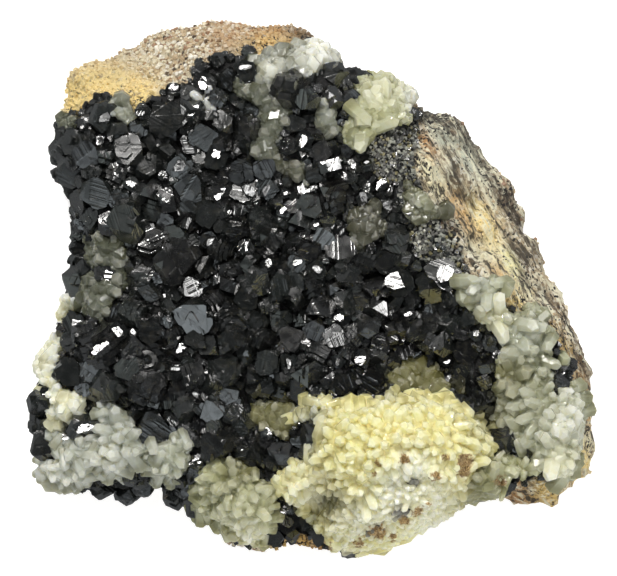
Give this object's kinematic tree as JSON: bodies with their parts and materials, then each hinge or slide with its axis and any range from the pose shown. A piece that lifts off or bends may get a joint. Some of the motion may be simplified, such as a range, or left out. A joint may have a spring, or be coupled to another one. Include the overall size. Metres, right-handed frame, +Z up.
{
  "type": "sphalerite specimen",
  "caption": "Hand-sized mineral specimen: lustrous black sphalerite crystals and pale quartz druses on a slab of tan rock that lies on its flat back.",
  "frame": {"origin": "on the flat that the rock lies on, under the middle of its outline", "axes": "+Z up out of the crystal-covered face, +X to the specimen's right and +Y to its top, as the picture shows it"},
  "size_m": [0.0945, 0.0891, 0.0392],
  "materials": {
    "rock": "rough, granular, with rusty and dark stains",
    "sphalerite": "black, with a high almost metallic lustre on flat striated faces",
    "quartz": "glassy, milky to pale yellow"
  },
  "bodies": {
    "root": {"matrix_rock": "rock", "sphalerite_field": "sphalerite", "sphalerite_lower_left_edge": "sphalerite", "sphalerite_lower_left": "sphalerite", "sphalerite_left_middle": "sphalerite", "sphalerite_bottom_left": "sphalerite", "sphalerite_cavity": "sphalerite", "sphalerite_cushion_rim": "sphalerite", "sphalerite_right_rim": "sphalerite", "sphalerite_lower_right": "sphalerite", "quartz_druse_lower_centre": "quartz", "quartz_druse_lower_left": "quartz", "quartz_druse_left_edge": "quartz", "quartz_druse_left_middle": "quartz", "quartz_druse_left_rim": "quartz", "quartz_druse_top": "quartz", "quartz_druse_top_right": "quartz", "quartz_druse_right": "quartz", "quartz_druse_lower_right": "quartz", "quartz_druse_lower_middle": "quartz", "quartz_druse_hollow": "quartz", "quartz_druse_above_centre": "quartz", "quartz_druse_middle": "quartz"}
  },
  "joints": []
}
